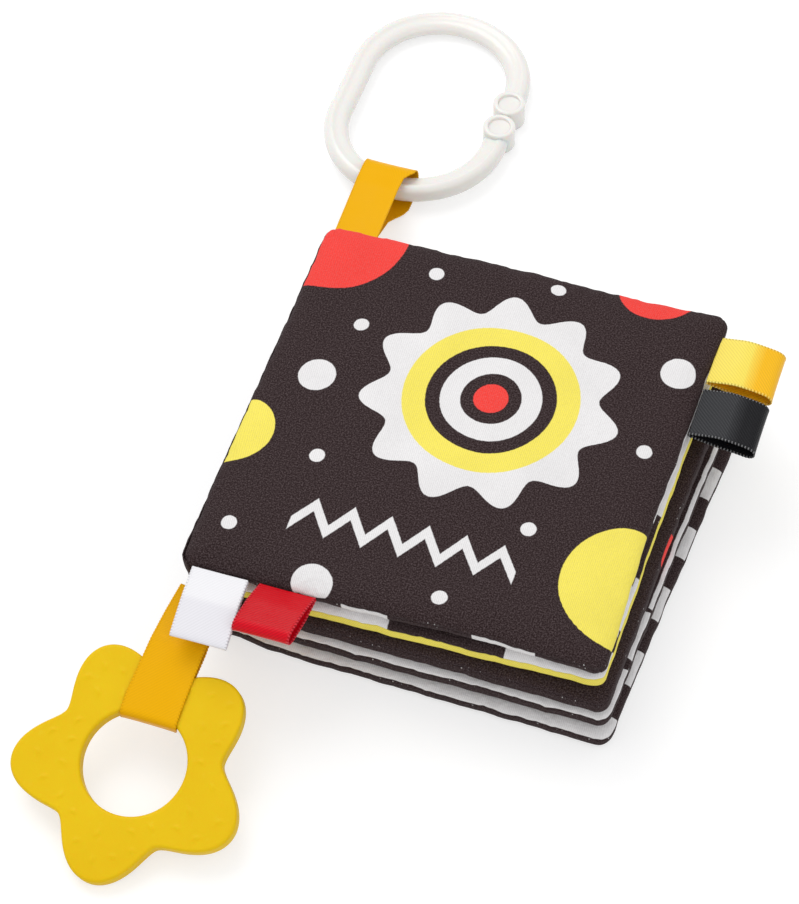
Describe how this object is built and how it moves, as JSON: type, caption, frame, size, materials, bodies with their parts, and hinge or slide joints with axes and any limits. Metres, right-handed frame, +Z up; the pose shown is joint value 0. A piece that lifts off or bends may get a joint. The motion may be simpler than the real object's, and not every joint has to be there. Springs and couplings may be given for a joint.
{
  "type": "cloth baby book",
  "caption": "Square padded cloth contrast book with ribbon tags, a clip-on plastic link ring and a flower teether on ribbon loops.",
  "frame": {"origin": "centre of the back cover's flat underside, on the surface that the book lies on", "axes": "+Z up out of the front cover, +Y along the spine towards the link ring, +X from the spine to the edge where the leaves open"},
  "size_m": [0.2046, 0.3974, 0.0504],
  "materials": {
    "black_cloth": "printed satin-weave polyester",
    "white_cloth": "printed satin-weave polyester",
    "yellow_cloth": "printed satin-weave polyester",
    "wadding": "soft polyester wadding",
    "crinkle_film": "thin crackling film",
    "amber_ribbon": "satin ribbon",
    "yellow_ribbon": "satin ribbon",
    "black_ribbon": "satin ribbon",
    "white_ribbon": "satin ribbon",
    "red_ribbon": "satin ribbon",
    "link_plastic": "glossy moulded plastic",
    "teether_silicone": "matte silicone"
  },
  "bodies": {
    "back_cover": {"back_cover_outer_cloth": "black_cloth", "back_cover_wadding": "wadding", "back_cover_inner_cloth": "white_cloth", "spine_cloth": "black_cloth"},
    "leaf_4": {"leaf_4_lower_cloth": "black_cloth", "leaf_4_wadding": "wadding", "leaf_4_upper_cloth": "white_cloth"},
    "leaf_3": {"leaf_3_lower_cloth": "black_cloth", "leaf_3_wadding": "wadding", "leaf_3_upper_cloth": "black_cloth"},
    "leaf_2": {"leaf_2_lower_cloth": "yellow_cloth", "leaf_2_wadding": "wadding", "leaf_2_upper_cloth": "white_cloth"},
    "front_cover": {"front_cover_inner_cloth": "white_cloth", "front_cover_wadding": "wadding", "front_cover_crinkle_film": "crinkle_film", "front_cover_outer_cloth": "black_cloth"},
    "yellow_tag": {"yellow_tag": "yellow_ribbon"},
    "black_tag": {"black_tag": "black_ribbon"},
    "white_tag": {"white_tag": "white_ribbon"},
    "red_tag": {"red_tag": "red_ribbon"},
    "hanger_ribbon": {"hanger_ribbon": "amber_ribbon"},
    "link_ring": {"link_ring": "link_plastic"},
    "teether_ribbon": {"teether_ribbon": "amber_ribbon"},
    "flower_teether": {"flower_teether": "teether_silicone"}
  },
  "joints": [
    {"name": "leaf_4_turn", "type": "hinge", "parent": "back_cover", "child": "leaf_4", "pos_m": [-0.07477, 0, 0.00925], "axis": [0, 1, 0], "range_deg": [-40, 0]},
    {"name": "leaf_3_turn", "type": "hinge", "parent": "leaf_4", "child": "leaf_3", "pos_m": [-0.07612, 0, 0.01865], "axis": [0, 1, 0], "range_deg": [-40, 0]},
    {"name": "leaf_2_turn", "type": "hinge", "parent": "leaf_3", "child": "leaf_2", "pos_m": [-0.07748, 0, 0.02805], "axis": [0, 1, 0], "range_deg": [-40, 0]},
    {"name": "front_cover_turn", "type": "hinge", "parent": "leaf_2", "child": "front_cover", "pos_m": [-0.07883, 0, 0.03745], "axis": [0, -1, 0], "range_deg": [0, 178], "deforming": ["spine_cloth"]},
    {"name": "yellow_tag_flap", "type": "hinge", "parent": "front_cover", "child": "yellow_tag", "pos_m": [0.06924, 0.056, 0.04629], "axis": [0, 1, 0], "range_deg": [-60, 60], "stiffness_Nm_per_rad": 0.0015},
    {"name": "black_tag_flap", "type": "hinge", "parent": "front_cover", "child": "black_tag", "pos_m": [0.06924, 0.033, 0.04629], "axis": [0, 1, 0], "range_deg": [-60, 60], "stiffness_Nm_per_rad": 0.0015},
    {"name": "white_tag_flap", "type": "hinge", "parent": "front_cover", "child": "white_tag", "pos_m": [-0.06391, -0.0762, 0.04257], "axis": [0.9996, 0, 0.0279], "range_deg": [-60, 8], "stiffness_Nm_per_rad": 0.0015},
    {"name": "red_tag_flap", "type": "hinge", "parent": "front_cover", "child": "red_tag", "pos_m": [-0.04011, -0.0762, 0.04323], "axis": [0.9996, 0, 0.0279], "range_deg": [-60, 45], "stiffness_Nm_per_rad": 0.0015},
    {"name": "hanger_ribbon_swing", "type": "hinge", "parent": "back_cover", "child": "hanger_ribbon", "pos_m": [-0.0705, 0.0762, 0.0285], "axis": [1, 0, 0], "range_deg": [0, 90]},
    {"name": "link_ring_swing", "type": "hinge", "parent": "hanger_ribbon", "child": "link_ring", "pos_m": [-0.076, 0.1284, 0.0072], "axis": [1, 0, 0], "range_deg": [0, 90]},
    {"name": "teether_ribbon_swing", "type": "hinge", "parent": "back_cover", "child": "teether_ribbon", "pos_m": [-0.0727, -0.0762, 0.0285], "axis": [-1, 0, 0], "range_deg": [0, 10]},
    {"name": "flower_teether_turn", "type": "hinge", "parent": "teether_ribbon", "child": "flower_teether", "pos_m": [-0.0727, -0.1368, 0.01481], "axis": [0, -0.2924, 0.9563], "continuous": true}
  ]
}
